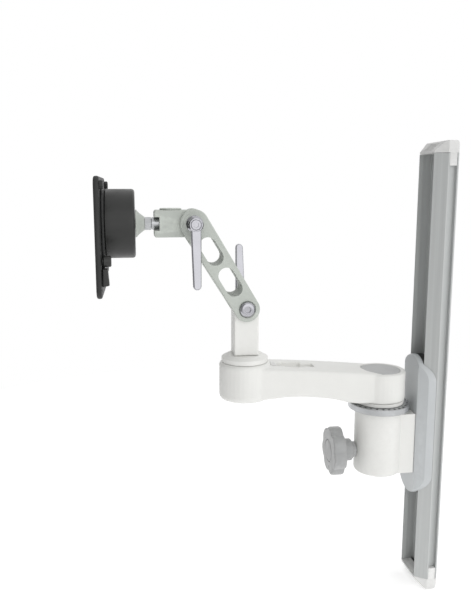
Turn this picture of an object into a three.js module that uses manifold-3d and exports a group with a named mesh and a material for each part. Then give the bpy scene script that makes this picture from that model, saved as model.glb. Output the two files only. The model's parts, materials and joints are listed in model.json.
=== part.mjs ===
// Wall-track monitor arm: a trolley slides on a vertical aluminium track and carries a swivel
// housing, an extension arm, a square post, a tilting link, a pan head and a rotating VESA plate.
// Millimetres, +Z up. The origin is the centre of the track's back face, and the wall is at x = 0.
// The arm reaches out along -X, and +Y is to the right of someone who faces the wall.

import * as THREE from 'three';
import { mergeVertices } from 'three/addons/utils/BufferGeometryUtils.js';
import Module from 'manifold-3d';

const wasm = await Module();
wasm.setup();

// ---------------------------------------------------------------- driving dimensions

const GAP = 0.3;                  // clearance between faces that meet
const BORE_GAP = 0.3;             // radial clearance of a shaft in its bore

const TRACK_LENGTH = 483;         // a standard 19 inch length of extrusion
const TRACK_DEPTH = 24.6;
const TRACK_HALF_WIDTH = 26.5;    // at the wall
const TRACK_HALF_FRONT = 17.9;    // at the open front
const LIP_LAND = 0.4;             // flat strip on the front of each lip
const BEVEL_DEPTH = 12.2;         // where the side faces turn into the bevels
const LIP_DEPTH = 5.3;            // thickness of the lips beside the open front
const CHANNEL_HALF = 19.6;        // half width of the slot behind the lips
const WEB_FRONT = 10;             // the channel's floor, measured from the wall
const GROOVE_NEAR_WALL = 2.3;     // cable groove in each side face
const GROOVE_FAR = 11;
const GROOVE_FLOOR = 21.8;
const CAP_HEIGHT = 12.5;
const CAP_TAB = 13.5;

const SWIVEL_X = -68.2;           // first vertical axis, in the housing
const AXIS_SPACING = 154.1;       // from the housing's axis to the post's axis
const POST_X = SWIVEL_X - AXIS_SPACING;

const SADDLE_FRONT = 31;
const SADDLE_HALF_FRONT = 18.7;
const SADDLE_SHOULDER = 21.7;
const SADDLE_TOP = 20.6;
const SADDLE_BOTTOM = -142.3;
const SCREW_Y = 10.5;             // screws that hold the housing to the saddle
const SCREW_Z = [-58, -103];

const HOUSING_RADIUS = 26.4;
const HOUSING_TOP = -39.5;
const HOUSING_BOTTOM = -113.2;
const HOUSING_FOOT_HALF = 17;
const HOUSING_FOOT_TOP = -44;
const SHAFT_RADIUS = 11;          // both vertical pivots
const BUSH_RADIUS = 13.3;
const RING_RADIUS = 34.35;
const RING_TOP = -32.4;
const RING_BOTTOM = -39.2;
const RING_HOLES = 30;
const RING_HOLE_CIRCLE = 31.2;
const SPACER_RADIUS = 27.3;
const STOP_ANGLE = 96;            // stop pins, either side of the spacer tab, for a swing of 90

const LOCK_Z = -88.2;             // height of the trolley lock's axis
const STUD_RADIUS = 5;
const KNOB_RADIUS = 27.2;
const KNOB_LOBES = 7;
const KNOB_BACK = -111.5;
const KNOB_FACE = -126;

const ARM_END_RADIUS = 28.1;
const ARM_BOSS_RADIUS = 27.8;
const ARM_HALF_WIDTH = 24;
const ARM_END_TOP = 4.9;
const ARM_END_BOTTOM = -28;
const ARM_BOSS_TOP = 20.4;
const ARM_BOSS_BOTTOM = -20.6;
const ARM_CAP_RADIUS = 22.1;

const COLLAR_RADIUS = 25.2;
const COLLAR_TOP = 28.8;
const POST_WIDTH = 26.3;
const LOWER_PIVOT_Z = 79.9;
const LINK_LENGTH = 104.7;
const LINK_LEAN = THREE.MathUtils.degToRad(31.4);
const LINK_LOWER_RADIUS = 13.4;
const LINK_UPPER_RADIUS = 14.8;
const LINK_HALF_THICKNESS = 17.5;
const FORK_HALF = 14.5;
const BOLT_RADIUS = 5;
const WASHER_RADIUS = 12;
const LEVER_REACH = 64;

const HEAD_HALF_HEIGHT = 13.75;
const HEAD_HALF_WIDTH = 13.15;
const HEAD_LEFT = -40.5;          // the block's open end, from the upper pivot
const PAN_X = -23.2;              // the pan pin, from the upper pivot
const SLOT_HALF = 6.8;
const NECK_RADIUS = 6.4;
const NECK_BORE = 5;

const PUCK_RADIUS = 35;
const PUCK_DEPTH = 29.2;
const PLATE_SIZE = 116.4;
const PLATE_THICKNESS = 5.4;
const PLATE_DROP = 11.3;          // the plate's centre below the rotation axis
const VESA_PITCHES = [100, 75];

const UPPER_PIVOT_X = POST_X - LINK_LENGTH * Math.sin(LINK_LEAN);
const UPPER_PIVOT_Z = LOWER_PIVOT_Z + LINK_LENGTH * Math.cos(LINK_LEAN);
const PAN_AXIS_X = UPPER_PIVOT_X + PAN_X;
const PUCK_FRONT_X = PAN_AXIS_X - 36.2;

// ---------------------------------------------------------------- solids and booleans

const FINE = 36;
const MEDIUM = 16;
const COARSE = 10;

// One closed mesh: shared vertices, no empty triangles, faces turned outwards.
function closed(geometry) {
  const bare = geometry.clone();
  bare.deleteAttribute('normal');
  bare.deleteAttribute('uv');
  const merged = mergeVertices(bare, 1e-4);
  const p = merged.attributes.position;
  const index = Array.from(merged.index.array);
  const kept = [];
  let volume = 0;
  const a = new THREE.Vector3();
  const b = new THREE.Vector3();
  const c = new THREE.Vector3();
  for (let i = 0; i < index.length; i += 3) {
    const [i0, i1, i2] = index.slice(i, i + 3);
    if (i0 === i1 || i1 === i2 || i2 === i0) continue;
    kept.push(i0, i1, i2);
    a.fromBufferAttribute(p, i0);
    b.fromBufferAttribute(p, i1);
    c.fromBufferAttribute(p, i2);
    volume += a.dot(b.cross(c));
  }
  if (volume < 0) {
    for (let i = 0; i < kept.length; i += 3) [kept[i], kept[i + 1]] = [kept[i + 1], kept[i]];
  }
  merged.setIndex(kept);
  return merged;
}

function toManifold(geometry) {
  const clean = closed(geometry);
  return new wasm.Manifold(new wasm.Mesh({
    numProp: 3,
    vertProperties: new Float32Array(clean.attributes.position.array),
    triVerts: new Uint32Array(clean.index.array),
  }));
}

function toGeometry(manifold) {
  const mesh = manifold.getMesh();
  const geometry = new THREE.BufferGeometry();
  geometry.setAttribute('position', new THREE.BufferAttribute(mesh.vertProperties, 3));
  geometry.setIndex(new THREE.BufferAttribute(mesh.triVerts, 1));
  return geometry;
}

function join(first, ...others) {
  return toGeometry(others.reduce((sum, part) => sum.add(toManifold(part)), toManifold(first)));
}

function cut(body, ...tools) {
  return toGeometry(tools.reduce((rest, tool) => rest.subtract(toManifold(tool)), toManifold(body)));
}

function common(a, b) {
  return toGeometry(toManifold(a).intersect(toManifold(b)));
}

// ---------------------------------------------------------------- basic shapes

// A solid of revolution about 'x', 'y' or 'z'. Each profile point is [radius, height].
function turned(axis, profile, segments = MEDIUM) {
  const points = profile.map(([r, h]) => new THREE.Vector2(r, h));
  const geometry = new THREE.LatheGeometry(points, segments);
  if (axis === 'z') geometry.rotateX(Math.PI / 2);
  if (axis === 'x') geometry.rotateZ(-Math.PI / 2);
  return geometry;
}

function rod(axis, radius, from, to, segments = MEDIUM) {
  return turned(axis, [[0, from], [radius, from], [radius, to], [0, to]], segments);
}

function tube(axis, inner, outer, from, to, segments = MEDIUM) {
  const profile = [[inner, from], [outer, from], [outer, to], [inner, to], [inner, from]];
  return turned(axis, profile, segments);
}

// Points of a quarter round from one [radius, height] to another, bulging towards the corner.
function quarter([r0, h0], [r1, h1], corner, steps = 3) {
  const points = [];
  for (let i = 0; i <= steps; i += 1) {
    const t = (i / steps) * (Math.PI / 2);
    const u = Math.sin(t);
    const v = Math.cos(t);
    const along = corner === 'start' ? [1 - v, u] : [u, 1 - v];
    points.push([r0 + (r1 - r0) * along[0], h0 + (h1 - h0) * along[1]]);
  }
  return points;
}

function box(x0, x1, y0, y1, z0, z1) {
  const geometry = new THREE.BoxGeometry(x1 - x0, y1 - y0, z1 - z0);
  geometry.translate((x0 + x1) / 2, (y0 + y1) / 2, (z0 + z1) / 2);
  return geometry;
}

function polygon(points) {
  return new THREE.Shape(points.map(([u, v]) => new THREE.Vector2(u, v)));
}

// A flat shape in X and Y, made solid from z0 to z1.
function prismZ(shape, z0, z1, curveSegments = 12) {
  const geometry = new THREE.ExtrudeGeometry(shape, { depth: z1 - z0, bevelEnabled: false, curveSegments });
  geometry.translate(0, 0, z0);
  return geometry;
}

// A flat shape in X and Z, made solid from -half to +half along Y, its rim rounded by the bevel.
function prismY(shape, half, bevel = 0, curveSegments = 12, bevelSegments = 1) {
  const geometry = new THREE.ExtrudeGeometry(shape, {
    depth: 2 * (half - bevel),
    bevelEnabled: bevel > 0,
    bevelThickness: bevel,
    bevelSize: bevel,
    bevelOffset: -bevel,
    bevelSegments,
    curveSegments,
  });
  geometry.translate(0, 0, -(half - bevel));
  geometry.rotateX(Math.PI / 2);
  return geometry;
}

// A flat shape in Y and Z, made solid from x0 to x1, its rim rounded by the bevel.
function prismX(shape, x0, x1, bevel = 0, curveSegments = 8) {
  const geometry = new THREE.ExtrudeGeometry(shape, {
    depth: x1 - x0 - 2 * bevel,
    bevelEnabled: bevel > 0,
    bevelThickness: bevel,
    bevelSize: bevel,
    bevelOffset: -bevel,
    bevelSegments: 2,
    curveSegments,
  });
  geometry.rotateX(Math.PI / 2);
  geometry.rotateZ(Math.PI / 2);
  geometry.translate(x0 + bevel, 0, 0);
  return geometry;
}

function roundedRect(halfU, halfV, radius) {
  const shape = new THREE.Shape();
  const turn = Math.PI / 2;
  const corners = [[halfU, halfV], [-halfU, halfV], [-halfU, -halfV], [halfU, -halfV]];
  corners.forEach(([u, v], i) => {
    const cu = u - Math.sign(u) * radius;
    const cv = v - Math.sign(v) * radius;
    shape.absarc(cu, cv, radius, i * turn, (i + 1) * turn, false);
  });
  shape.closePath();
  return shape;
}

// A slot shape: two half circles joined by straight sides, along the second coordinate.
function slotShape(u, v0, v1, r0, r1 = r0) {
  const lean = Math.asin((r0 - r1) / (v1 - v0));
  const shape = new THREE.Shape();
  shape.absarc(u, v1, r1, lean, Math.PI - lean, false);
  shape.absarc(u, v0, r0, Math.PI - lean, 2 * Math.PI + lean, false);
  shape.closePath();
  return shape;
}

function hexPrism(axis, acrossFlats, from, to) {
  return rod(axis, acrossFlats / Math.sqrt(3), from, to, 6);
}

// ---------------------------------------------------------------- finishes

const finish = (color, roughness, metalness) => ({ color, roughness, metalness });
const WHITE_PAINT = finish(0xeeeeea, 0.42, 0.0);
const GREY_PAINT = finish(0x9da1a3, 0.45, 0.1);
const CAST_GREY = finish(0xc3c9c1, 0.5, 0.1);
const ANODISED = finish(0xb2b5b5, 0.38, 0.9);
const PALE_PLASTIC = finish(0xd6d6d3, 0.5, 0.0);
const KNOB_PLASTIC = finish(0xa8aaa9, 0.55, 0.0);
const CAP_GREY = finish(0xa9abab, 0.5, 0.0);
const CHROME = finish(0xd9dadf, 0.12, 1.0);
const STEEL = finish(0xb4b6b8, 0.35, 0.9);
const BLACK_PLASTIC = finish(0x2b2c2b, 0.55, 0.0);
const BLACK_PAINT = finish(0x1f2020, 0.5, 0.3);
const BRONZE = finish(0xa9814a, 0.5, 0.8);
const DARK_RUBBER = finish(0x2a2a2a, 0.9, 0.0);

function part(name, geometry, look) {
  const mesh = new THREE.Mesh(closed(geometry), new THREE.MeshStandardMaterial({ ...look, flatShading: true }));
  mesh.name = name;
  return mesh;
}

function group(x, y, z, ...children) {
  const g = new THREE.Group();
  g.position.set(x, y, z);
  g.add(...children);
  return g;
}

// ---------------------------------------------------------------- the wall track

function mirroredOutline(half) {
  const back = half.slice().reverse().map(([x, y]) => [x, -y]);
  return polygon([...half, ...back]);
}

function trackExtrusion() {
  const halfOutline = [
    [0, TRACK_HALF_WIDTH - 1.5], [-1.5, TRACK_HALF_WIDTH],
    [-GROOVE_NEAR_WALL, TRACK_HALF_WIDTH], [-GROOVE_NEAR_WALL, GROOVE_FLOOR],
    [-GROOVE_FAR, GROOVE_FLOOR], [-GROOVE_FAR, TRACK_HALF_WIDTH],
    [-BEVEL_DEPTH, TRACK_HALF_WIDTH], [-TRACK_DEPTH, TRACK_HALF_FRONT + LIP_LAND],
    [-TRACK_DEPTH, TRACK_HALF_FRONT],
    [-TRACK_DEPTH + LIP_DEPTH, TRACK_HALF_FRONT], [-TRACK_DEPTH + LIP_DEPTH, CHANNEL_HALF],
    [-WEB_FRONT, CHANNEL_HALF],
  ];
  const section = mirroredOutline(halfOutline);
  const chamberHalf = 17;
  const chamberBack = -2.4;
  const chamberFront = -7.6;
  section.holes.push(new THREE.Path([
    new THREE.Vector2(chamberBack, chamberHalf), new THREE.Vector2(chamberFront, chamberHalf),
    new THREE.Vector2(chamberFront, -chamberHalf), new THREE.Vector2(chamberBack, -chamberHalf),
  ]));
  const rail = prismZ(section, -TRACK_LENGTH / 2, TRACK_LENGTH / 2);
  const wallScrewHoles = [-200, -70, 70, 200].map((z) => {
    const profile = [[0, -WEB_FRONT - 2], [8.4, -WEB_FRONT - 2], [3.4, -WEB_FRONT + 3], [3.4, 1], [0, 1]];
    return turned('x', profile, COARSE).translate(0, 0, z);
  });
  return part('track_extrusion', cut(rail, ...wallScrewHoles), ANODISED);
}

// The cap's front slopes back from a low lip, and a tab fills the end of each cable groove.
function endCap(name, side) {
  const outline = mirroredOutline([
    [0, TRACK_HALF_WIDTH - 1.5], [-1.5, TRACK_HALF_WIDTH],
    [-BEVEL_DEPTH, TRACK_HALF_WIDTH], [-TRACK_DEPTH, TRACK_HALF_FRONT],
  ]);
  const plan = prismZ(outline, 0, CAP_HEIGHT);
  const lip = 2;
  const crown = -14.5;
  const round = 4.5;
  const profile = new THREE.Shape();
  profile.moveTo(-TRACK_DEPTH - 1, 0);
  profile.lineTo(-TRACK_DEPTH - 1, lip - 1);
  profile.lineTo(-TRACK_DEPTH, lip);
  profile.lineTo(crown, CAP_HEIGHT - 0.8);
  profile.lineTo(crown + 1.6, CAP_HEIGHT);
  profile.lineTo(-round, CAP_HEIGHT);
  profile.absarc(-round, CAP_HEIGHT - round, round, Math.PI / 2, 0, true);
  profile.lineTo(0, 0);
  const shell = common(plan, prismY(profile, TRACK_HALF_WIDTH + 1, 0, 4));
  const tabs = [-1, 1].map((s) => {
    const inner = GROOVE_FLOOR + GAP;
    const outer = TRACK_HALF_WIDTH - 0.2;
    const [y0, y1] = s > 0 ? [inner, outer] : [-outer, -inner];
    return box(-GROOVE_FAR + GAP, -GROOVE_NEAR_WALL - GAP, y0, y1, -CAP_TAB, 1);
  });
  const mesh = part(name, join(shell, ...tabs), PALE_PLASTIC);
  mesh.position.z = side * (TRACK_LENGTH / 2 + GAP);
  if (side < 0) mesh.rotation.set(Math.PI, 0, 0);
  return mesh;
}

// ---------------------------------------------------------------- the trolley

const trolleyScrewPlaces = SCREW_Z.flatMap((z) => [[-SCREW_Y, z], [SCREW_Y, z]]);

function alongX(radius, from, to, y, z, segments = COARSE) {
  return rod('x', radius, from, to, segments).translate(0, y, z);
}

// The saddle sits on the track's front and bevels, and its outline from the front is a slot shape.
function trolleySaddle() {
  const seat = 0.35;
  const section = mirroredOutline([
    [-TRACK_DEPTH - GAP, TRACK_HALF_FRONT + LIP_LAND + 0.7 * seat],
    [-BEVEL_DEPTH - 2 * seat, TRACK_HALF_WIDTH],
    [-SADDLE_SHOULDER, TRACK_HALF_WIDTH], [-SADDLE_FRONT, SADDLE_HALF_FRONT],
  ]);
  const bar = prismZ(section, SADDLE_BOTTOM, SADDLE_TOP);
  const r = TRACK_HALF_WIDTH;
  const outline = slotShape(0, SADDLE_BOTTOM + r, SADDLE_TOP - r, r);
  const rim = 2.6;
  const rounded = common(bar, prismX(outline, -SADDLE_FRONT, rim, rim, 16));
  const holes = trolleyScrewPlaces.map(([y, z]) => alongX(3.3, -40, 0, y, z));
  const studHole = alongX(STUD_RADIUS + 0.5, -40, 0, 0, LOCK_Z);
  return part('trolley_saddle', cut(rounded, ...holes, studHole), GREY_PAINT);
}

// Two half widths: one between the lips, and one behind them.
function channelSection(stemHalf, flangeHalf) {
  const lipBack = -TRACK_DEPTH + LIP_DEPTH + GAP;
  return mirroredOutline([
    [-WEB_FRONT - GAP, flangeHalf], [lipBack, flangeHalf], [lipBack, stemHalf],
    [-TRACK_DEPTH, stemHalf],
  ]);
}

const BLOCK_TOP = 2;
const BLOCK_BOTTOM = -124;
const GLIDE_HEIGHT = 14;

function slideBlock() {
  const bar = prismZ(channelSection(17.4, 19.2), BLOCK_BOTTOM, BLOCK_TOP);
  const holes = trolleyScrewPlaces.flatMap(([y, z]) => [
    alongX(3.3, -30, 0, y, z), alongX(5.6, -17.2, 0, y, z),
  ]);
  const padPocket = alongX(8.3, -20.4, 0, 0, LOCK_Z);
  const studHole = alongX(STUD_RADIUS + 0.5, -30, 0, 0, LOCK_Z);
  return part('slide_block', cut(bar, ...holes, padPocket, studHole), STEEL);
}

function glide(name, z0) {
  return part(name, prismZ(channelSection(17.6, 19.35), z0, z0 + GLIDE_HEIGHT), BLACK_PLASTIC);
}

function housingScrew(name, y, z) {
  const profile = [
    [0, -46], [2.6, -46], [3, -45.4], [3, -16.9], [5, -16.9], [5, -11.2], [4.7, -10.9],
    [2.5, -10.9], [2.5, -13.9], [0, -13.9],
  ];
  const mesh = part(name, turned('x', profile, COARSE), STEEL);
  mesh.position.set(0, y, z);
  return mesh;
}

// A barrel for the swivel shaft with a square foot that is screwed to the saddle.
function pivotHousing() {
  const round = 3;
  const barrel = turned('z', [
    [0, HOUSING_BOTTOM],
    ...quarter([HOUSING_RADIUS - round, HOUSING_BOTTOM], [HOUSING_RADIUS, HOUSING_BOTTOM + round], 'end'),
    [HOUSING_RADIUS, HOUSING_TOP], [0, HOUSING_TOP],
  ], FINE);
  const footEnd = -SADDLE_FRONT - GAP - SWIVEL_X;
  const foot = box(0, footEnd, -HOUSING_FOOT_HALF, HOUSING_FOOT_HALF, HOUSING_BOTTOM, HOUSING_FOOT_TOP);
  const bore = rod('z', BUSH_RADIUS + BORE_GAP, -78, HOUSING_TOP + 1, FINE);
  const studBore = alongX(STUD_RADIUS + 0.4, -40, 40, 0, LOCK_Z);
  const threads = trolleyScrewPlaces.map(([y, z]) => alongX(3.3, 19, 40, y, z));
  return part('pivot_housing', cut(join(barrel, foot), bore, studBore, ...threads), WHITE_PAINT);
}

function bush(name, from, to) {
  return part(name, tube('z', SHAFT_RADIUS + 0.25, BUSH_RADIUS, from, to, 20), BRONZE);
}

function ringPlace(angleDeg) {
  const a = THREE.MathUtils.degToRad(angleDeg);
  return [RING_HOLE_CIRCLE * Math.cos(a), RING_HOLE_CIRCLE * Math.sin(a)];
}

function stopRing() {
  const edge = 0.6;
  const disc = turned('z', [
    [SHAFT_RADIUS + 0.6, RING_BOTTOM], [RING_RADIUS - edge, RING_BOTTOM],
    [RING_RADIUS, RING_BOTTOM + edge], [RING_RADIUS, RING_TOP - edge], [RING_RADIUS - edge, RING_TOP],
    [SHAFT_RADIUS + 0.6, RING_TOP], [SHAFT_RADIUS + 0.6, RING_BOTTOM],
  ], FINE);
  const holes = [];
  for (let i = 0; i < RING_HOLES; i += 1) {
    const [x, y] = ringPlace(90 + STOP_ANGLE + (i * 360) / RING_HOLES);
    holes.push(rod('z', 1.7, RING_BOTTOM + 0.3, RING_TOP + 1, 6).translate(x, y, 0));
  }
  return part('stop_ring', cut(disc, ...holes), STEEL);
}

function stopPin(name, angleDeg) {
  const mesh = part(name, rod('z', 1.35, RING_BOTTOM + 0.5, RING_TOP + 2, 10), STEEL);
  const [x, y] = ringPlace(angleDeg);
  mesh.position.set(x, y, 0);
  return mesh;
}

// ---------------------------------------------------------------- the trolley lock

function brakePad() {
  const profile = [
    [0, -16.2], [7.4, -16.2], [7.8, -15.8], [7.8, -WEB_FRONT - 0.8], [7.3, -WEB_FRONT - GAP],
    [0, -WEB_FRONT - GAP],
  ];
  const mesh = part('brake_pad', turned('x', profile, MEDIUM), DARK_RUBBER);
  mesh.position.z = LOCK_Z;
  return mesh;
}

function lockStud() {
  const mesh = part('lock_stud', rod('x', STUD_RADIUS, KNOB_BACK - 6, -16.6, MEDIUM), STEEL);
  mesh.position.z = LOCK_Z;
  return mesh;
}

// Radius of the lobed rim: full at each lobe and drawn in between them.
function lobeShape(radius, depth, steps = 6) {
  const points = [];
  const count = KNOB_LOBES * steps;
  for (let i = 0; i < count; i += 1) {
    const a = (i / count) * 2 * Math.PI;
    const valley = Math.pow(0.5 - 0.5 * Math.cos(KNOB_LOBES * a), 2.5);
    const r = radius - depth * valley;
    points.push([r * Math.sin(a), r * Math.cos(a)]);
  }
  return polygon(points);
}

// The lobed head, its stepped hub and the bore for the stud.
function knobHead() {
  const head = prismX(lobeShape(KNOB_RADIUS, 2.8), KNOB_FACE, KNOB_BACK, 2.4);
  const hub = turned('x', [
    [0, KNOB_BACK - 2], [12.4, KNOB_BACK - 2], [12.4, -100.9], [11.6, -100.1], [8.8, -99.7],
    [8.8, SWIVEL_X - HOUSING_RADIUS - 1.2], [0, SWIVEL_X - HOUSING_RADIUS - 1.2],
  ], 24);
  const bore = rod('x', STUD_RADIUS + BORE_GAP, KNOB_BACK - 6.5, 0, MEDIUM);
  const capSeat = rod('x', 12.8, KNOB_FACE - 1, KNOB_FACE + 1.6, 24);
  const mesh = part('knob_head', cut(join(head, hub), bore, capSeat), KNOB_PLASTIC);
  mesh.position.z = LOCK_Z;
  return mesh;
}

function knobCap() {
  const profile = [[0, KNOB_FACE - 0.6], [11, KNOB_FACE - 0.4], [12.4, KNOB_FACE + 0.2],
    [12.4, KNOB_FACE + 1.3], [0, KNOB_FACE + 1.3]];
  const mesh = part('knob_cap', turned('x', profile, 24), KNOB_PLASTIC);
  mesh.position.z = LOCK_Z;
  return mesh;
}

// ---------------------------------------------------------------- the extension arm

const CABLE_SLOT = { from: -126.5, to: -77.8, half: 6.5, floor: 8.2 };
const CABLE_BAY = { from: -111.8, to: -91.3, half: 11 };
const CLIP_END = -119.6;

// In the side view the underside arches between the boss and the housing's end, and the top falls.
function armBeam() {
  const bossX = -AXIS_SPACING;
  const arch = new THREE.SplineCurve([
    new THREE.Vector2(bossX, ARM_BOSS_BOTTOM), new THREE.Vector2(-134, -18.2), new THREE.Vector2(-101, -16.4),
    new THREE.Vector2(-62, -20.4), new THREE.Vector2(-36, -26.8), new THREE.Vector2(0, ARM_END_BOTTOM),
  ]);
  const profile = new THREE.Shape(arch.getPoints(12));
  profile.lineTo(0, ARM_END_TOP);
  profile.quadraticCurveTo(bossX / 2, 13.6, bossX, 17.2);
  profile.closePath();
  return prismY(profile, ARM_HALF_WIDTH, 3, 6, 2);
}

function roundedDrum(radius, bottom, top, lowerRound, upperRound) {
  return turned('z', [
    [0, bottom],
    ...quarter([radius - lowerRound, bottom], [radius, bottom + lowerRound], 'end'),
    ...quarter([radius, top - upperRound], [radius - upperRound, top], 'start'),
    [0, top],
  ], FINE);
}

function extensionArm() {
  const end = roundedDrum(ARM_END_RADIUS, ARM_END_BOTTOM, ARM_END_TOP, 1.5, 2);
  const boss = roundedDrum(ARM_BOSS_RADIUS, ARM_BOSS_BOTTOM, ARM_BOSS_TOP, 5, 3.5)
    .translate(-AXIS_SPACING, 0, 0);
  const capSeat = rod('z', ARM_CAP_RADIUS + 0.3, ARM_END_TOP - 2.4, ARM_END_TOP + 6, FINE);
  const boltSeat = rod('z', 8, -5, ARM_END_TOP, MEDIUM);
  const boltHole = rod('z', 4.4, -20, 0, COARSE);
  const shaftSeat = rod('z', SHAFT_RADIUS + BORE_GAP, ARM_END_BOTTOM - 1, -12, FINE);
  const postBore = rod('z', BUSH_RADIUS + BORE_GAP, -25, 25, FINE).translate(-AXIS_SPACING, 0, 0);
  const washerSeat = rod('z', 17, -25, -10.5, FINE).translate(-AXIS_SPACING, 0, 0);
  const slot = CABLE_SLOT;
  const bay = CABLE_BAY;
  const slotCut = box(slot.from, slot.to, -slot.half, slot.half, slot.floor, 25);
  const bayCut = box(bay.from, bay.to, -bay.half, bay.half, slot.floor, 25);
  const cableHole = rod('z', 3.4, -30, 20, COARSE).translate(slot.to - 4.2, 0, 0);
  const body = join(armBeam(), end, boss);
  const arm = cut(body, capSeat, boltSeat, boltHole, shaftSeat, postBore, washerSeat, slotCut, bayCut, cableHole);
  return part('extension_arm', arm, WHITE_PAINT);
}

function armCap() {
  const top = ARM_END_TOP;
  const profile = [[0, top - 2.1], [ARM_CAP_RADIUS, top - 2.1], [ARM_CAP_RADIUS, top - 0.3],
    [ARM_CAP_RADIUS - 0.4, top], [0, top]];
  return part('arm_cap', turned('z', profile, FINE), CAP_GREY);
}

function cableClip() {
  const profile = new THREE.Shape();
  profile.moveTo(CABLE_SLOT.from + GAP, CABLE_SLOT.floor + GAP);
  profile.lineTo(CABLE_SLOT.from + GAP, 16.4);
  profile.lineTo(CABLE_SLOT.from + 1.2, 17);
  profile.lineTo(CLIP_END - 0.8, 16.4);
  profile.lineTo(CLIP_END, 15.6);
  profile.lineTo(CLIP_END, CABLE_SLOT.floor + GAP);
  profile.closePath();
  return part('cable_clip', prismY(profile, CABLE_SLOT.half - GAP), PALE_PLASTIC);
}

function pivotShaft() {
  const shaft = turned('z', [
    [0, -77.5], [SHAFT_RADIUS - 0.8, -77.5], [SHAFT_RADIUS, -76.7], [SHAFT_RADIUS, -12.4], [0, -12.4],
  ], FINE);
  const thread = rod('z', 4.3, -36, 0, COARSE);
  return part('pivot_shaft', cut(shaft, thread), STEEL);
}

function socketScrew(axis, shankRadius, headRadius, tip, shoulder, headEnd, socket) {
  const away = Math.sign(headEnd - shoulder);
  const profile = [
    [0, tip], [shankRadius, tip], [shankRadius, shoulder], [headRadius, shoulder],
    [headRadius, headEnd - 0.5 * away], [headRadius - 0.5, headEnd], [0, headEnd],
  ];
  const depth = Math.abs(headEnd - shoulder) * 0.6;
  const [from, to] = away > 0 ? [headEnd - depth, headEnd + 1] : [headEnd - 1, headEnd + depth];
  return cut(turned(axis, profile, COARSE), hexPrism(axis, socket, from, to));
}

function shaftBolt() {
  return part('shaft_bolt', socketScrew('z', 4, 6.5, -34, -4.7, 2.2, 6), STEEL);
}

// The spacer turns with the arm, and its tab meets the stop pins at the ends of the swing.
function spacerWasher() {
  const bottom = RING_TOP + GAP;
  const top = ARM_END_BOTTOM - GAP;
  const ring = tube('z', SHAFT_RADIUS + 0.4, SPACER_RADIUS, bottom, top, FINE);
  const tab = box(-1.3, 1.3, SPACER_RADIUS - 3, RING_HOLE_CIRCLE + 1.6, bottom, bottom + 2.4);
  return part('spacer_washer', join(ring, tab), WHITE_PAINT);
}

// ---------------------------------------------------------------- the post

function postCollar() {
  const bottom = ARM_BOSS_TOP + GAP;
  const profile = [
    [8.4, bottom], [COLLAR_RADIUS - 0.4, bottom], [COLLAR_RADIUS, bottom + 0.4],
    ...quarter([COLLAR_RADIUS, bottom + 4.2], [COLLAR_RADIUS - 1.4, bottom + 5.5], 'start'),
    [19.2, COLLAR_TOP], [8.4, COLLAR_TOP], [8.4, bottom],
  ];
  return part('post_collar', turned('z', profile, FINE), WHITE_PAINT);
}

function postSpindle() {
  const spindle = turned('z', [
    [0, -10.6], [SHAFT_RADIUS, -10.6], [SHAFT_RADIUS, ARM_BOSS_TOP], [8, ARM_BOSS_TOP], [8, 46], [0, 46],
  ], FINE);
  const thread = rod('z', 3.3, -20, 8, COARSE);
  return part('post_spindle', cut(spindle, thread), STEEL);
}

// Square, with a top rounded about the lower pivot.
function tiltPost() {
  const half = POST_WIDTH / 2;
  const profile = new THREE.Shape();
  profile.moveTo(-half, COLLAR_TOP + GAP);
  profile.lineTo(half, COLLAR_TOP + GAP);
  profile.lineTo(half, LOWER_PIVOT_Z);
  profile.absarc(0, LOWER_PIVOT_Z, half, 0, Math.PI, false);
  profile.closePath();
  const bar = prismY(profile, half, 1, 14);
  const spindleBore = rod('z', 8 + BORE_GAP, 0, 47, MEDIUM);
  const boltHole = rod('y', BOLT_RADIUS + BORE_GAP, -30, 30).translate(0, 0, LOWER_PIVOT_Z);
  return part('tilt_post', cut(bar, spindleBore, boltHole), WHITE_PAINT);
}

function retainingWasher() {
  return part('post_retaining_washer', tube('z', 3.3, 15.6, -13, -10.9, MEDIUM), STEEL);
}

function retainingScrew() {
  return part('post_retaining_screw', socketScrew('z', 3, 6, 6, -13.3, -16.8, 5), STEEL);
}

// ---------------------------------------------------------------- the tilting link

// Upright here, with its lower pivot at the origin: a tapered bar, forked at both ends.
function tiltLink() {
  const outline = slotShape(0, 0, LINK_LENGTH, LINK_LOWER_RADIUS, LINK_UPPER_RADIUS);
  const windows = [[26.3, 41.9], [64.4, 78.7]];
  const windowRadius = 8.6;
  const bar = prismY(outline, LINK_HALF_THICKNESS, 1, 12);
  const openings = windows.map(([z0, z1]) => prismY(slotShape(0, z0, z1, windowRadius), 30, 0, 8));
  const lowerFork = box(-30, 30, -FORK_HALF, FORK_HALF, -30, 14.6);
  const upperFork = box(-30, 30, -FORK_HALF, FORK_HALF, LINK_LENGTH - 15.2, LINK_LENGTH + 30);
  const outerFace = LINK_HALF_THICKNESS + 1;
  const bosses = [[-outerFace, LINK_LENGTH], [outerFace, LINK_LENGTH], [outerFace, 0]].map(([face, z]) => {
    const root = Math.sign(face) * (FORK_HALF + 1.5);
    return rod('y', 10.8, Math.min(face, root), Math.max(face, root), 24).translate(0, 0, z);
  });
  const boltHoles = [0, LINK_LENGTH].map((z) => rod('y', BOLT_RADIUS + BORE_GAP, -30, 30).translate(0, 0, z));
  const headSeat = rod('y', 9.2, -30, -LINK_HALF_THICKNESS + 0.9, 24);
  const body = join(bar, ...bosses);
  return part('tilt_link', cut(body, ...openings, lowerFork, upperFork, ...boltHoles, headSeat), CAST_GREY);
}

function frictionWasher(name, side, z) {
  const inner = FORK_HALF - 0.2;
  const [from, to] = side < 0 ? [-inner, -inner + 0.8] : [inner - 0.8, inner];
  const mesh = part(name, tube('y', BOLT_RADIUS + 0.5, WASHER_RADIUS, from, to, MEDIUM), BLACK_PLASTIC);
  mesh.position.z = z;
  return mesh;
}

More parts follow.
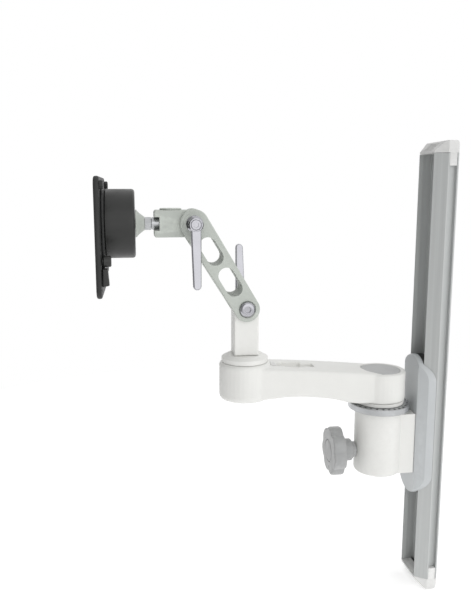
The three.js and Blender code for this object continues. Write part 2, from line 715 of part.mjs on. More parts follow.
// A button-head bolt along Y, with its head on one side and its thread in the other side's lever.
function pivotBolt(name, headSide, seat) {
  const height = 4.6;
  const headRadius = 8.4;
  const profile = [
    [0, -33.5], [BOLT_RADIUS - 0.6, -33.5], [BOLT_RADIUS, -32.9], [BOLT_RADIUS, seat], [headRadius, seat],
    [headRadius, seat + 1.2],
    ...quarter([headRadius, seat + 1.2], [4.6, seat + height], 'start'),
    [0, seat + height],
  ];
  const bolt = cut(turned('y', profile, 24), hexPrism('y', 6, seat + height - 3, seat + height + 1));
  if (headSide < 0) bolt.rotateX(Math.PI);
  return part(name, bolt, CHROME);
}

// ---------------------------------------------------------------- the clamping levers

// The lever's hub turns on a bolt along Y. Its outer side is -Y and its handle hangs along -Z.
function clampLever(name) {
  const base = -LINK_HALF_THICKNESS - 1 - GAP;
  const face = -38;
  const hub = turned('y', [
    [0, face], [6.4, face], [7.6, face + 1.2], [7.6, base - 3.4], [8.6, base - 2.6], [8.6, base], [0, base],
  ], 20);
  const rootHalf = 5.4;
  const tipHalf = 4.1;
  const outline = slotShape(0, -LEVER_REACH + tipHalf, 0, tipHalf, rootHalf);
  const thickness = 7.6;
  const handle = prismY(outline, thickness / 2, 1.8, 6, 2);
  handle.applyMatrix4(new THREE.Matrix4().makeShear(0, 0, 0, 0, 0, 0.15));
  handle.translate(0, -32.8, 0);
  const bore = rod('y', BOLT_RADIUS + BORE_GAP, -34.2, 0, MEDIUM);
  const screwSeat = rod('y', 5.7, face - 6, -34.6, MEDIUM);
  const screwHole = rod('y', 2.3, face - 6, -30, COARSE);
  return part(name, cut(join(hub, handle), bore, screwSeat, screwHole), CHROME);
}

function leverScrew(name) {
  return part(name, socketScrew('y', 2, 5.3, -33.8, -34.9, -37.6, 5), CHROME);
}

// ---------------------------------------------------------------- the pan head and the neck

// The upper pivot is at the origin: a rounded tongue there, and an open slot at the far end.
function headBlock() {
  const h = HEAD_HALF_HEIGHT;
  const corner = 2.6;
  const profile = new THREE.Shape();
  profile.absarc(0, 0, h, -Math.PI / 2, Math.PI / 2, false);
  profile.absarc(HEAD_LEFT + corner, h - corner, corner, Math.PI / 2, Math.PI, false);
  profile.absarc(HEAD_LEFT + corner, -h + corner, corner, Math.PI, 1.5 * Math.PI, false);
  profile.closePath();
  const block = prismY(profile, HEAD_HALF_WIDTH, 0.8, 14);
  const notch = box(HEAD_LEFT - 1, HEAD_LEFT + 5.5, -20, 20, -SLOT_HALF, SLOT_HALF);
  const slot = box(HEAD_LEFT - 1, PAN_X, -11.5, 11.5, -SLOT_HALF, SLOT_HALF);
  const slotEnd = rod('z', 9.6, -SLOT_HALF, SLOT_HALF, MEDIUM).translate(PAN_X, 0, 0);
  const pinHole = rod('z', NECK_BORE + BORE_GAP, -20, 20, MEDIUM).translate(PAN_X, 0, 0);
  const boltHole = rod('y', BOLT_RADIUS + BORE_GAP, -20, 20, MEDIUM);
  return part('head_block', cut(block, notch, slot, slotEnd, pinHole, boltHole), CAST_GREY);
}

function panPin() {
  const mesh = part('pan_pin', rod('z', NECK_BORE, -HEAD_HALF_HEIGHT + 0.4, HEAD_HALF_HEIGHT, MEDIUM), STEEL);
  mesh.position.x = PAN_X;
  return mesh;
}

function panCap() {
  const bottom = HEAD_HALF_HEIGHT + GAP;
  const profile = [[0, bottom], [11.3, bottom], [11.3, bottom + 0.9], [10.6, bottom + 1.5], [0, bottom + 1.5]];
  const mesh = part('pan_cap', turned('z', profile, 24), CAST_GREY);
  mesh.position.x = PAN_X;
  return mesh;
}

const NUT_FROM = -20.2;
const NUT_TO = -26.4;
const CONE_END = -35.9;
const SHAFT_END = -63;

// The pan pin is at the origin: an eye on the pin, a round neck, and a thinner shaft to the plate.
function neckShaft() {
  const eye = rod('z', 9, -NECK_RADIUS, NECK_RADIUS, MEDIUM);
  const stem = turned('x', [
    [0, SHAFT_END], [4.6, SHAFT_END], [NECK_BORE, SHAFT_END + 0.4], [NECK_BORE, NUT_FROM + 0.6],
    [NECK_RADIUS, NUT_FROM + 0.6], [NECK_RADIUS, 0], [0, 0],
  ], MEDIUM);
  const pinHole = rod('z', NECK_BORE + BORE_GAP, -10, 10, MEDIUM);
  return part('neck_shaft', cut(join(eye, stem), pinHole), STEEL);
}

function neckNut() {
  const nut = cut(hexPrism('x', 13, NUT_TO, NUT_FROM), rod('x', NECK_BORE + BORE_GAP, -30, 0, MEDIUM));
  const mesh = part('neck_nut', nut, STEEL);
  mesh.rotation.x = Math.PI / 6;
  return mesh;
}

// A flared flange that covers the plate cover's hole.
function neckCone() {
  const bore = NECK_BORE + BORE_GAP;
  const profile = [[bore, CONE_END], [14.2, CONE_END], [14.2, CONE_END + 0.9]];
  for (let i = 1; i <= 5; i += 1) {
    const t = i / 5;
    profile.push([14.2 - 7.4 * Math.pow(t, 0.8), CONE_END + 0.9 + 8.3 * t]);
  }
  profile.push([bore, NUT_TO - 0.3], [bore, CONE_END]);
  return part('neck_cone', turned('x', profile, 24), CAST_GREY);
}

function rotationLockNut() {
  const nut = cut(hexPrism('x', 14, -62.2, -56.6), rod('x', NECK_BORE + BORE_GAP, -70, -40, MEDIUM));
  return part('rotation_lock_nut', nut, STEEL);
}

// ---------------------------------------------------------------- the VESA head

// The cover's front face is at the origin and the monitor is along -X.
const HUB_BACK = -PUCK_DEPTH + 0.3;
const CARRIER_BACK = -PUCK_DEPTH - 2.7;
const PLATE_BACK = CARRIER_BACK - GAP;
const PLATE_FRONT = PLATE_BACK - PLATE_THICKNESS;

function puckCover() {
  const round = 3;
  const wall = 2.6;
  const outer = [
    [PUCK_RADIUS - 0.5, -PUCK_DEPTH],
    [PUCK_RADIUS, -PUCK_DEPTH + 0.5],
    ...quarter([PUCK_RADIUS, -round], [PUCK_RADIUS - round, 0], 'start'),
  ];
  const hole = 6.2;
  const profile = [
    [PUCK_RADIUS - wall, -PUCK_DEPTH], ...outer, [hole, 0], [hole, -wall],
    [PUCK_RADIUS - wall - 1, -wall], [PUCK_RADIUS - wall, -wall - 1], [PUCK_RADIUS - wall, -PUCK_DEPTH],
  ];
  return part('puck_cover', turned('x', profile, 40), BLACK_PLASTIC);
}

// A hub fixed to the carrier plate, on which the neck's shaft turns.
function rotationHub() {
  const bore = NECK_BORE + 0.15;
  const profile = [
    [10.5, HUB_BACK], [28, HUB_BACK], [28, HUB_BACK + 4], [22, HUB_BACK + 5], [22, -4], [bore, -4],
    [bore, -20.2], [10.5, -20.2], [10.5, HUB_BACK],
  ];
  return part('rotation_hub', turned('x', profile, 20), ANODISED);
}

function carrierPlate() {
  const sheet = prismX(roundedRect(42, 43.5, 8), CARRIER_BACK, -PUCK_DEPTH - GAP);
  const mesh = part('carrier_plate', sheet, BLACK_PAINT);
  mesh.position.z = -9;
  return mesh;
}

function squareOfHoles(pitch) {
  const half = pitch / 2;
  return [[-half, -half], [half, -half], [half, half], [-half, half]];
}

function vesaPlate() {
  const half = PLATE_SIZE / 2;
  const sheet = prismX(roundedRect(half, half, 10), PLATE_FRONT, PLATE_BACK, 1.8);
  const holes = VESA_PITCHES.flatMap(squareOfHoles).map(([y, z]) => {
    return alongX(2.3, PLATE_FRONT - 1, PLATE_BACK + 1, y, z, 14);
  });
  const mesh = part('vesa_plate', cut(sheet, ...holes), BLACK_PAINT);
  mesh.position.z = -PLATE_DROP;
  return mesh;
}

function plateScrew(name, side) {
  const back = PLATE_BACK + GAP;
  const profile = [
    [0, PLATE_FRONT + 0.4], [1.95, PLATE_FRONT + 0.4], [1.95, back], [4.4, back], [4.4, back + 2.4],
    [3.6, back + 3.3], [0, back + 3.5],
  ];
  const mesh = part(name, turned('x', profile, COARSE), BLACK_PAINT);
  mesh.position.set(0, side * 50, -PLATE_DROP + 50);
  return mesh;
}

// The lock at the plate's lower corner: a spring latch with a thumb screw above it.
function releaseLatch() {
  const base = PLATE_BACK + GAP;
  const profile = new THREE.Shape();
  profile.moveTo(base, -58);
  profile.lineTo(base + 6.6, -56.6);
  profile.lineTo(base + 5.4, -40.4);
  profile.lineTo(base, -40.4);
  profile.closePath();
  const mesh = part('release_latch', prismY(profile, 4.4, 0.8, 4), BLACK_PLASTIC);
  mesh.position.y = -48.5;
  return mesh;
}

function thumbScrew() {
  const base = PLATE_BACK + GAP;
  const profile = [
    [0, base], [3.4, base], [3.4, base + 1.4], [5.4, base + 1.8], [5.4, base + 8], [4.6, base + 8.8],
    [0, base + 8.8],
  ];
  const mesh = part('thumb_screw', turned('x', profile, 16), BLACK_PLASTIC);
  mesh.position.set(0, -48.5, -33.4);
  return mesh;
}

// ---------------------------------------------------------------- assembly

const track = group(0, 0, 0,
  trackExtrusion(),
  endCap('top_end_cap', 1),
  endCap('bottom_end_cap', -1));

const trolley = group(0, 0, 0,
  trolleySaddle(),
  slideBlock(),
  glide('upper_glide', BLOCK_TOP + GAP),
  glide('lower_glide', BLOCK_BOTTOM - GAP - GLIDE_HEIGHT),
  ...trolleyScrewPlaces.map(([y, z], i) => housingScrew(`housing_screw_${i + 1}`, y, z)),
  brakePad(),
  lockStud(),
  knobHead(),
  knobCap());

const swivel = group(SWIVEL_X, 0, 0,
  pivotHousing(),
  bush('upper_swivel_bush', -55, HOUSING_TOP - 0.2),
  bush('lower_swivel_bush', -77, -62),
  stopRing(),
  stopPin('left_stop_pin', 90 + STOP_ANGLE),
  stopPin('right_stop_pin', 90 - STOP_ANGLE),
  spacerWasher(),
  pivotShaft(),
  shaftBolt(),
  extensionArm(),
  armCap(),
  cableClip());

const post = group(POST_X, 0, 0,
  bush('upper_post_bush', 5, ARM_BOSS_TOP - 0.3),
  bush('lower_post_bush', -10.4, 3),
  postCollar(),
  postSpindle(),
  tiltPost(),
  retainingWasher(),
  retainingScrew());

const upperLever = group(0, 0, LINK_LENGTH, clampLever('upper_lever'), leverScrew('upper_lever_screw'));
upperLever.rotation.y = LINK_LEAN;

const lowerLever = group(0, 0, 0, clampLever('lower_lever'), leverScrew('lower_lever_screw'));
lowerLever.rotation.set(Math.PI, LINK_LEAN, 0, 'YXZ');

const upperBolt = pivotBolt('upper_pivot_bolt', 1, LINK_HALF_THICKNESS + 1 + GAP);
upperBolt.position.z = LINK_LENGTH;

const link = group(POST_X, 0, LOWER_PIVOT_Z,
  tiltLink(),
  pivotBolt('lower_pivot_bolt', -1, LINK_HALF_THICKNESS - 0.6),
  upperBolt,
  frictionWasher('lower_washer_near', -1, 0),
  frictionWasher('lower_washer_far', 1, 0),
  frictionWasher('upper_washer_near', -1, LINK_LENGTH),
  frictionWasher('upper_washer_far', 1, LINK_LENGTH),
  upperLever,
  lowerLever);
link.rotation.y = -LINK_LEAN;

const head = group(UPPER_PIVOT_X, 0, UPPER_PIVOT_Z, headBlock(), panPin(), panCap());

const neck = group(PAN_AXIS_X, 0, UPPER_PIVOT_Z,
  neckShaft(),
  neckNut(),
  neckCone(),
  rotationLockNut());

const vesaHead = group(PUCK_FRONT_X, 0, UPPER_PIVOT_Z,
  puckCover(),
  rotationHub(),
  carrierPlate(),
  vesaPlate(),
  plateScrew('near_plate_screw', -1),
  plateScrew('far_plate_screw', 1),
  releaseLatch(),
  thumbScrew());

const monitorArm = new THREE.Group();
monitorArm.add(track, trolley, swivel, post, link, head, neck, vesaHead);

export default monitorArm;
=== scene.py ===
"""Finishes the wall-track monitor arm: bevelled visible pieces, procedural materials, light and camera.

Metres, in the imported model's frame: +Z up, the wall at x = 0, the arm reaching out along -X.
"""

import json
import math

import bmesh
import bpy
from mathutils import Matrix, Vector

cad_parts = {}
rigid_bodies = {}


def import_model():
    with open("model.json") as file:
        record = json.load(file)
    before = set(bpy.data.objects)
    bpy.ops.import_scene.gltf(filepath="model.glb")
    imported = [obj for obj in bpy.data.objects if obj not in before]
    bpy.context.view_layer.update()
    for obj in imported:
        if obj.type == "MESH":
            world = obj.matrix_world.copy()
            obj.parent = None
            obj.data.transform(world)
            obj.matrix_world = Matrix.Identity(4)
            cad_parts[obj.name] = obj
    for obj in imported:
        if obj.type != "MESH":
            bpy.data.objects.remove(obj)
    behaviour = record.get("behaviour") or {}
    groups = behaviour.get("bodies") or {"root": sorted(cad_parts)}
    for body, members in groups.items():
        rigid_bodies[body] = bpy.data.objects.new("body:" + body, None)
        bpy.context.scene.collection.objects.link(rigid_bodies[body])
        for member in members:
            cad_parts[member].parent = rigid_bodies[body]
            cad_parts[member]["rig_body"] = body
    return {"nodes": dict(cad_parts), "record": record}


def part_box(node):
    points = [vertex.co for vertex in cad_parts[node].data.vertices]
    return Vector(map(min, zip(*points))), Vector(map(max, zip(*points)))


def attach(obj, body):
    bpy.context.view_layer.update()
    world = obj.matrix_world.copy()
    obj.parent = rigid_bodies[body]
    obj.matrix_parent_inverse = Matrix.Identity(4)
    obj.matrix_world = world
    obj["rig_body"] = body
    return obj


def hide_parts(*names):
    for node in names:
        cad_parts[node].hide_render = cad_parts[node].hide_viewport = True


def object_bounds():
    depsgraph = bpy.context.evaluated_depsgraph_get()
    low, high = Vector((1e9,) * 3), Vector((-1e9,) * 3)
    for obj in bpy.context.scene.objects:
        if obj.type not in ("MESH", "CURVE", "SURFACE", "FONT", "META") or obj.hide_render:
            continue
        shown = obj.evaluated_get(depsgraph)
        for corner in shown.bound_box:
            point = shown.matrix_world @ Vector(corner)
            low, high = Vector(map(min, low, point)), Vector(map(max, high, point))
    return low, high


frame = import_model()
cad_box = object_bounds()
nodes = frame["nodes"]
MM = 0.001

CAMERA_PLACE = (-0.3329, -0.6807, 0.2018)
CAMERA_TURN = (80.56, 0.0, -8.40)  # degrees about X, Y and Z
LENS = 39.22  # millimetres, as is the sensor's width
SENSOR = 36.0

KEY_PLACE = (0.3, -2.4, 0.9)
KEY_AIM = (-0.2, 0.0, 0.0)
KEY_SIZE = (2.6, 2.6)
KEY_POWER = 11.0  # watts

DIM_SIDE = (-0.42, -0.2)  # the room's tone falls off between these X components of a direction
DIM_TONE = 0.42  # the dim side's brightness, where the rest of the room has 1

FLOOR_RADIUS = 0.85
FLOOR_SIDES = 96
FLOOR_DROP = 2 * MM  # how far the floor lies below the lower end cap
FLOOR_BACK = 0.15  # how far its centre lies towards the far side
FLOOR_GLOW = 0.33

WELD = 0.004 * MM
FLAT_ANGLE = 0.6  # degrees: faces closer than this to one plane are merged
BEVEL_ANGLE = 28.0  # degrees: edges keener than this are broken
BEVEL_SEGMENTS = 2
SHARP_ANGLE = 50.0  # degrees: edges keener than this keep a crease in the shading
SMOOTHING = 0.5  # how far each pass moves a vertex towards its neighbours' mean


# ---------------------------------------------------------------- camera and light

def add_camera():
    data = bpy.data.cameras.new("camera")
    data.lens = LENS
    data.sensor_width = SENSOR
    data.clip_start = 10 * MM
    camera = bpy.data.objects.new("camera", data)
    camera.location = CAMERA_PLACE
    camera.rotation_euler = [math.radians(turn) for turn in CAMERA_TURN]
    bpy.context.scene.collection.objects.link(camera)
    bpy.context.scene.camera = camera


def add_softbox():
    """One large soft light, above and well back on the near side."""
    data = bpy.data.lights.new("key", "AREA")
    data.shape = "RECTANGLE"
    data.size, data.size_y = KEY_SIZE
    data.energy = KEY_POWER
    lamp = bpy.data.objects.new("key", data)
    lamp.location = KEY_PLACE
    lamp.rotation_euler = (Vector(KEY_AIM) - Vector(KEY_PLACE)).to_track_quat("-Z", "Y").to_euler()
    bpy.context.scene.collection.objects.link(lamp)


def add_world():
    """A white room, dimmer towards -X, where the display would stand."""
    world = bpy.data.worlds.new("studio")
    world.use_nodes = True
    tree = world.node_tree
    background = tree.nodes["Background"]
    background.inputs["Color"].default_value = (1.0, 1.0, 1.0, 1.0)
    coordinates = tree.nodes.new("ShaderNodeTexCoord")
    direction = tree.nodes.new("ShaderNodeSeparateXYZ")
    tree.links.new(coordinates.outputs["Generated"], direction.inputs["Vector"])
    fall = tree.nodes.new("ShaderNodeMapRange")
    fall.inputs["From Min"].default_value, fall.inputs["From Max"].default_value = DIM_SIDE
    fall.inputs["To Min"].default_value = DIM_TONE
    fall.inputs["To Max"].default_value = 1.0
    tree.links.new(direction.outputs["X"], fall.inputs["Value"])
    tree.links.new(fall.outputs["Result"], background.inputs["Strength"])
    bpy.context.scene.world = world
    bpy.context.scene.view_settings.view_transform = "Standard"


def add_floor():
    """A round sheet of pale paper just under the lower end cap."""
    low, high = cad_box
    centre = Vector(((low.x + high.x) / 2, FLOOR_BACK, low.z - FLOOR_DROP))
    bm = bmesh.new()
    bmesh.ops.create_circle(bm, cap_ends=True, radius=FLOOR_RADIUS, segments=FLOOR_SIDES)
    bmesh.ops.translate(bm, verts=bm.verts, vec=centre)
    mesh = bpy.data.meshes.new("floor")
    bm.to_mesh(mesh)
    bm.free()
    floor = bpy.data.objects.new("floor", mesh)
    bpy.context.scene.collection.objects.link(floor)
    paper = moulded("floor_paper", (0.95, 0.95, 0.95), 0.9, grain=300.0, depth=0.01 * MM)
    glow = paper.node_tree.nodes["Principled BSDF"]
    glow.inputs["Emission Color"].default_value = (1.0, 1.0, 1.0, 1.0)
    glow.inputs["Emission Strength"].default_value = FLOOR_GLOW
    floor.data.materials.append(paper)


# ---------------------------------------------------------------- material building blocks

MIX_FIRST, MIX_SECOND, MIX_RESULT = 6, 7, 2  # the colour sockets of a Mix node
EDGE_POINTINESS = (0.515, 0.60)  # from a nearly flat face to the crest of an edge


class Shader:
    """A node material under construction: each method adds nodes and returns the socket to use next."""

    def __init__(self, name):
        self.material = bpy.data.materials.new(name)
        self.material.use_nodes = True
        self.tree = self.material.node_tree
        self.bsdf = self.tree.nodes["Principled BSDF"]
        self.coordinates = self.add("ShaderNodeTexCoord").outputs["Object"]

    def add(self, kind, **settings):
        node = self.tree.nodes.new(kind)
        for key, value in settings.items():
            setattr(node, key, value)
        return node

    def link(self, source, target):
        self.tree.links.new(source, target)

    def stretched(self, scale):
        """Object coordinates scaled along each axis, for grain that runs one way."""
        mapping = self.add("ShaderNodeMapping")
        mapping.inputs["Scale"].default_value = scale
        self.link(self.coordinates, mapping.inputs["Vector"])
        return mapping.outputs["Vector"]

    def noise(self, scale, detail=3.0, rough=0.55, vector=None):
        node = self.add("ShaderNodeTexNoise")
        node.inputs["Scale"].default_value = scale
        node.inputs["Detail"].default_value = detail
        node.inputs["Roughness"].default_value = rough
        self.link(vector or self.coordinates, node.inputs["Vector"])
        return node.outputs["Fac"]

    def cells(self, scale):
        node = self.add("ShaderNodeTexVoronoi", feature="SMOOTH_F1")
        node.inputs["Scale"].default_value = scale
        self.link(self.coordinates, node.inputs["Vector"])
        return node.outputs["Distance"]

    def spread(self, value, low, high, start=0.3, end=0.7):
        """The value's run from start to end, mapped to run from low to high."""
        node = self.add("ShaderNodeMapRange")
        node.inputs["From Min"].default_value = start
        node.inputs["From Max"].default_value = end
        node.inputs["To Min"].default_value = low
        node.inputs["To Max"].default_value = high
        self.link(value, node.inputs["Value"])
        return node.outputs["Result"]

    def tone(self, factor, dark, light):
        """From dark at 0 to light at 1. Each is a colour or a socket."""
        node = self.add("ShaderNodeMix", data_type="RGBA")
        for socket, colour in ((node.inputs[MIX_FIRST], dark), (node.inputs[MIX_SECOND], light)):
            if isinstance(colour, tuple):
                socket.default_value = (*colour, 1.0)
            else:
                self.link(colour, socket)
        self.link(factor, node.inputs[0])
        return node.outputs[MIX_RESULT]

    def edges(self):
        """0 on flats and hollows, 1 on the crest of an outer edge."""
        pointiness = self.add("ShaderNodeNewGeometry").outputs["Pointiness"]
        return self.spread(pointiness, 0.0, 1.0, *EDGE_POINTINESS)

    def times(self, a, b):
        """The product of a socket and either a number or another socket."""
        node = self.add("ShaderNodeMath", operation="MULTIPLY")
        self.link(a, node.inputs[0])
        if isinstance(b, float):
            node.inputs[1].default_value = b
        else:
            self.link(b, node.inputs[1])
        return node.outputs[0]

    def bump(self, height, distance, strength):
        node = self.add("ShaderNodeBump")
        node.inputs["Distance"].default_value = distance
        node.inputs["Strength"].default_value = strength
        self.link(height, node.inputs["Height"])
        self.link(node.outputs["Normal"], self.bsdf.inputs["Normal"])

    def finish(self, colour, roughness, metallic):
        self.link(colour, self.bsdf.inputs["Base Color"])
        self.link(roughness, self.bsdf.inputs["Roughness"])
        self.bsdf.inputs["Metallic"].default_value = metallic
        return self.material


def shade(colour, factor):
    """The colour, lighter or darker."""
    return tuple(min(1.0, c * factor) for c in colour)


def painted(name, colour, roughness, peel=900.0, worn=1.12):
    """Powder coat: orange-peel bump, uneven gloss, faint handling marks and paler edges."""
    s = Shader(name)
    patches = s.noise(22.0, 4.0)
    body = s.tone(s.spread(patches, 0.0, 1.0), shade(colour, 0.965), shade(colour, 1.02))
    rubbed = s.times(s.edges(), s.spread(s.noise(160.0, 3.0), 0.0, 0.8))
    base = s.tone(rubbed, body, shade(colour, worn))
    gloss = s.spread(s.noise(45.0, 5.0, 0.65), roughness - 0.07, roughness + 0.09)
    s.bump(s.noise(peel, 2.0), 0.03 * MM, 0.6)
    return s.finish(base, gloss, 0.0)


def cast(name, colour, roughness):
    """Painted casting: a coarser skin than powder coat on sheet, with small pits."""
    s = Shader(name)
    skin = s.noise(1400.0, 4.0, 0.7)
    pits = s.cells(420.0)
    body = s.tone(s.spread(s.noise(30.0, 4.0), 0.0, 1.0), shade(colour, 0.98), shade(colour, 1.02))
    rubbed = s.times(s.edges(), s.spread(s.noise(220.0, 3.0), 0.0, 0.9))
    base = s.tone(rubbed, body, shade(colour, 1.25))
    gloss = s.spread(skin, roughness - 0.08, roughness + 0.1)
    s.bump(s.times(skin, s.spread(pits, 0.55, 1.0, 0.0, 0.5)), 0.06 * MM, 0.7)
    return s.finish(base, gloss, 0.0)


def moulded(name, colour, roughness, grain=1500.0, depth=0.05 * MM, worn=1.25):
    """Moulded plastic: a spark-eroded cell texture, with gloss that varies where hands touch it."""
    s = Shader(name)
    texture = s.cells(grain)
    body = s.tone(s.spread(s.noise(35.0, 3.0), 0.0, 1.0), shade(colour, 0.94), shade(colour, 1.05))
    rubbed = s.times(s.edges(), s.spread(s.noise(260.0, 3.0), 0.1, 0.8))
    base = s.tone(rubbed, body, shade(colour, worn))
    gloss = s.spread(s.noise(60.0, 4.0), roughness - 0.07, roughness + 0.08)
    s.bump(texture, depth, 0.6)
    return s.finish(base, gloss, 0.0)


def drawn(name, colour, roughness, metallic):
    """Extruded metal: fine die lines along Z, wider faint bands, satin gloss and a painted highlight on
    every edge crest.
    """
    s = Shader(name)
    lengthwise = (1.0, 1.0, 0.012)
    lines = s.noise(2600.0, 3.0, 0.6, s.stretched(lengthwise))
    bands = s.noise(312.0, 2.0, 0.5, s.stretched(lengthwise))
    base = s.tone(s.spread(bands, 0.0, 1.0), shade(colour, 0.9), shade(colour, 1.06))
    # painted highlight: every edge crest is lightened evenly in the colour, standing in for glints along
    # the bevels
    bright = s.tone(s.times(s.edges(), 0.7), base, shade(colour, 1.3))
    gloss = s.spread(lines, roughness - 0.08, roughness + 0.1)
    s.bump(lines, 0.02 * MM, 0.5)
    return s.finish(bright, gloss, metallic)


def machined(name, colour, roughness):
    """Turned or ground metal: close tool marks and small differences in gloss."""
    s = Shader(name)
    marks = s.noise(1800.0, 4.0, 0.7)
    base = s.tone(s.spread(s.noise(90.0, 3.0), 0.0, 1.0), shade(colour, 0.9), shade(colour, 1.06))
    gloss = s.spread(marks, roughness - 0.06, roughness + 0.08)
    s.bump(marks, 0.01 * MM, 0.5)
    return s.finish(base, gloss, 1.0)


def polished(name, colour):
    """Polished plating: near-mirror, with fine wiping scratches and a little haze."""
    s = Shader(name)
    scratches = s.noise(900.0, 4.0, 0.7, s.stretched((1.0, 1.0, 0.15)))
    haze = s.noise(55.0, 4.0)
    base = s.tone(s.spread(haze, 0.0, 1.0), shade(colour, 0.93), colour)
    gloss = s.spread(scratches, 0.10, 0.24)
    s.bump(scratches, 0.004 * MM, 0.4)
    return s.finish(base, gloss, 1.0)


WHITE = painted("white_powder_coat", (0.80, 0.80, 0.775), 0.42)
SADDLE_GREY = painted("grey_powder_coat", (0.52, 0.54, 0.55), 0.4, peel=1100.0)
CAST_GREY = cast("cast_grey_paint", (0.50, 0.53, 0.49), 0.48)
TRACK_METAL = drawn("anodised_extrusion", (0.46, 0.473, 0.469), 0.5, 0.15)
PALE = moulded("pale_moulding", (0.70, 0.70, 0.69), 0.5)
KNOB = moulded("knob_moulding", (0.36, 0.365, 0.365), 0.34, grain=1100.0)
CAP = moulded("arm_cap_moulding", (0.47, 0.475, 0.475), 0.5)
CHROME = polished("polished_chrome", (0.46, 0.46, 0.49))
STEEL = machined("machined_steel", (0.50, 0.51, 0.52), 0.32)
BLACK = moulded("black_moulding", (0.017, 0.0175, 0.0165), 0.40, grain=1300.0, worn=1.8)
BLACK_COAT = painted("black_powder_coat", (0.013, 0.0135, 0.013), 0.5, worn=2.2)
BRONZE = machined("sintered_bronze", (0.45, 0.28, 0.12), 0.5)
RUBBER = moulded("brake_rubber", (0.025, 0.025, 0.025), 0.8, grain=900.0)

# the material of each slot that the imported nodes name
SLOT_MATERIAL = {
    "white_paint": WHITE, "grey_paint": SADDLE_GREY, "cast_grey": CAST_GREY, "anodised": TRACK_METAL,
    "pale_plastic": PALE, "knob_plastic": KNOB, "cap_grey": CAP, "chrome": CHROME, "steel": STEEL,
    "black_plastic": BLACK, "black_paint": BLACK_COAT, "bronze": BRONZE, "rubber": RUBBER,
}
NODE_SLOT = {row["node"]: row["material_slot"] for row in frame["record"]["subparts"]}


# ---------------------------------------------------------------- pieces

def finish_mesh(bm, name, body, slot):
    """The mesh as an object with smooth, area-weighted shading that rides on a body."""
    mesh = bpy.data.meshes.new(name)
    bm.normal_update()
    bm.to_mesh(mesh)
    bm.free()
    mesh.polygons.foreach_set("use_smooth", [True] * len(mesh.polygons))
    mesh.set_sharp_from_angle(angle=math.radians(SHARP_ANGLE))
    mesh.materials.append(SLOT_MATERIAL[slot])
    piece = bpy.data.objects.new(name, mesh)
    bpy.context.scene.collection.objects.link(piece)
    shading = piece.modifiers.new("shading", "WEIGHTED_NORMAL")
    shading.keep_sharp = True
    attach(piece, body)
    return piece


def bevelled(node, width):
    """The CAD solid with its flat faces merged and its edges bevelled. It stands for the node."""
    source = nodes[node]
    bm = bmesh.new()
    verts = [bm.verts.new(v.co) for v in source.data.vertices]
    for face in source.data.polygons:
        bm.faces.new([verts[i] for i in face.vertices])
    bmesh.ops.remove_doubles(bm, verts=bm.verts, dist=WELD)
    bmesh.ops.dissolve_limit(bm, angle_limit=math.radians(FLAT_ANGLE), verts=bm.verts, edges=bm.edges)
    bmesh.ops.recalc_face_normals(bm, faces=bm.faces)
    limit = math.radians(BEVEL_ANGLE)
    keen = [e for e in bm.edges if e.is_manifold and e.calc_face_angle(0.0) > limit]
    bmesh.ops.bevel(
        bm, geom=keen, offset=width * MM, offset_type="OFFSET", segments=BEVEL_SEGMENTS,
        profile=0.5, affect="EDGES", clamp_overlap=True,
    )
    piece = finish_mesh(bm, node + "_finished", source["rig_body"], NODE_SLOT[node])
    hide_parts(node)


def softened(node, cell, passes):
    """The CAD solid as one casting, its edges and inner corners rounded. It stands for the node."""
    source = nodes[node]
    bm = bmesh.new()
    bm.from_mesh(source.data)
    bmesh.ops.remove_doubles(bm, verts=bm.verts, dist=WELD)
    piece = finish_mesh(bm, node + "_finished", source["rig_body"], NODE_SLOT[node])
    piece.modifiers.clear()
    remesh = piece.modifiers.new("cells", "REMESH")
    remesh.mode = "VOXEL"
    remesh.voxel_size = cell * MM
    remesh.use_smooth_shade = True
    smooth = piece.modifiers.new("soft", "SMOOTH")
    smooth.factor = SMOOTHING
    smooth.iterations = passes
    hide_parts(node)


# the bevel on each visible node, in millimetres
BEVELS = {
    "track_extrusion": 0.35, "top_end_cap": 0.8, "bottom_end_cap": 0.8, "trolley_saddle": 0.5,
    "pivot_housing": 0.9, "stop_ring": 0.3, "knob_head": 0.5, "knob_cap": 0.4,
    "arm_cap": 0.3, "cable_clip": 0.5, "spacer_washer": 0.4, "post_collar": 0.5, "tilt_post": 0.8,
    "tilt_link": 0.7, "upper_lever": 0.5, "lower_lever": 0.5, "upper_pivot_bolt": 0.3,
    "lower_pivot_bolt": 0.3, "head_block": 0.6, "pan_cap": 0.3, "neck_nut": 0.4, "neck_cone": 0.3,
    "neck_shaft": 0.3, "puck_cover": 0.4, "carrier_plate": 0.6, "vesa_plate": 0.5, "release_latch": 0.5,
    "thumb_screw": 0.3, "upper_lever_screw": 0.15, "lower_lever_screw": 0.15,
}


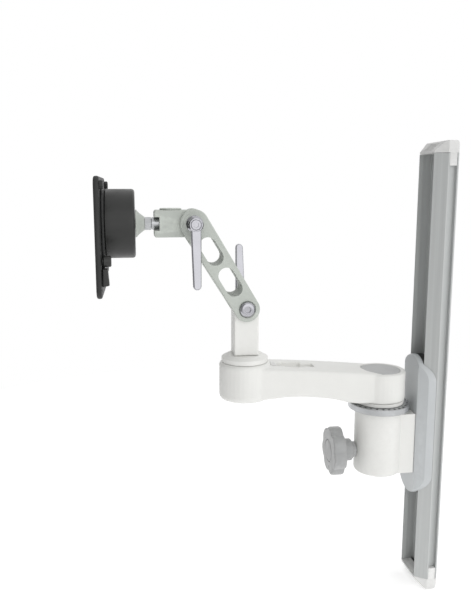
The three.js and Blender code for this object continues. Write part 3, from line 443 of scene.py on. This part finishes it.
def add_block(bm, centre, axes, halves):
    """A box with its own axes, as eight corners and six faces."""
    corners = []
    for i in (-1, 1):
        for j in (-1, 1):
            for k in (-1, 1):
                offset = axes[0] * (i * halves[0]) + axes[1] * (j * halves[1]) + axes[2] * (k * halves[2])
                corners.append(bm.verts.new(centre + offset))
    for quad in ((0, 1, 3, 2), (4, 6, 7, 5), (0, 4, 5, 1), (2, 3, 7, 6), (0, 2, 6, 4), (1, 5, 7, 3)):
        bm.faces.new([corners[q] for q in quad])


CAP_HEIGHT = 12.5 * MM
SLOPE_START = 2.0 * MM  # both heights of the slope are from the cap's inner end
SLOPE_END = 11.7 * MM
SLOPE_DEPTH = 10.1 * MM
RIB_COUNT = 5
RIB_HALVES = (11.0 * MM, 0.55 * MM, 0.45 * MM)
RIB_RISE = 0.1 * MM
RIB_BEVEL = 0.25 * MM


def cap_ribs(node, side):
    """Low grip ribs across the sloping front of an end cap: side is 1 at the top and -1 at the bottom."""
    low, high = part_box(node)
    inner = high.z - CAP_HEIGHT if side > 0 else low.z + CAP_HEIGHT
    start = Vector((low.x, 0.0, inner + side * SLOPE_START))
    end = Vector((low.x + SLOPE_DEPTH, 0.0, inner + side * SLOPE_END))
    along = (end - start).normalized()
    across = Vector((0.0, 1.0, 0.0))
    out = Vector((-along.z * side, 0.0, along.x * side))
    bm = bmesh.new()
    for i in range(RIB_COUNT):
        centre = start.lerp(end, (i + 1) / (RIB_COUNT + 1)) + out * RIB_RISE
        add_block(bm, centre, (across, along, out), RIB_HALVES)
    bmesh.ops.recalc_face_normals(bm, faces=bm.faces)
    bmesh.ops.bevel(
        bm, geom=list(bm.edges), offset=RIB_BEVEL, segments=BEVEL_SEGMENTS, profile=0.5, affect="EDGES",
    )
    finish_mesh(bm, node + "_ribs", "track", "pale_plastic")


# the cell size in millimetres and the smoothing passes of each soft casting
SOFT = {"extension_arm": (0.9, 5)}


def make_pieces():
    """Bevelled or softened pieces for the nodes that show, and materials for the hidden ones."""
    for node, width in BEVELS.items():
        bevelled(node, width)
    for node, (cell, passes) in SOFT.items():
        softened(node, cell, passes)
    for node, source in nodes.items():
        if node in BEVELS or node in SOFT:
            continue
        source.data.materials.clear()
        source.data.materials.append(SLOT_MATERIAL[NODE_SLOT[node]])
    cap_ribs("top_end_cap", 1)
    cap_ribs("bottom_end_cap", -1)


add_camera()
add_world()
add_softbox()
add_floor()
make_pieces()
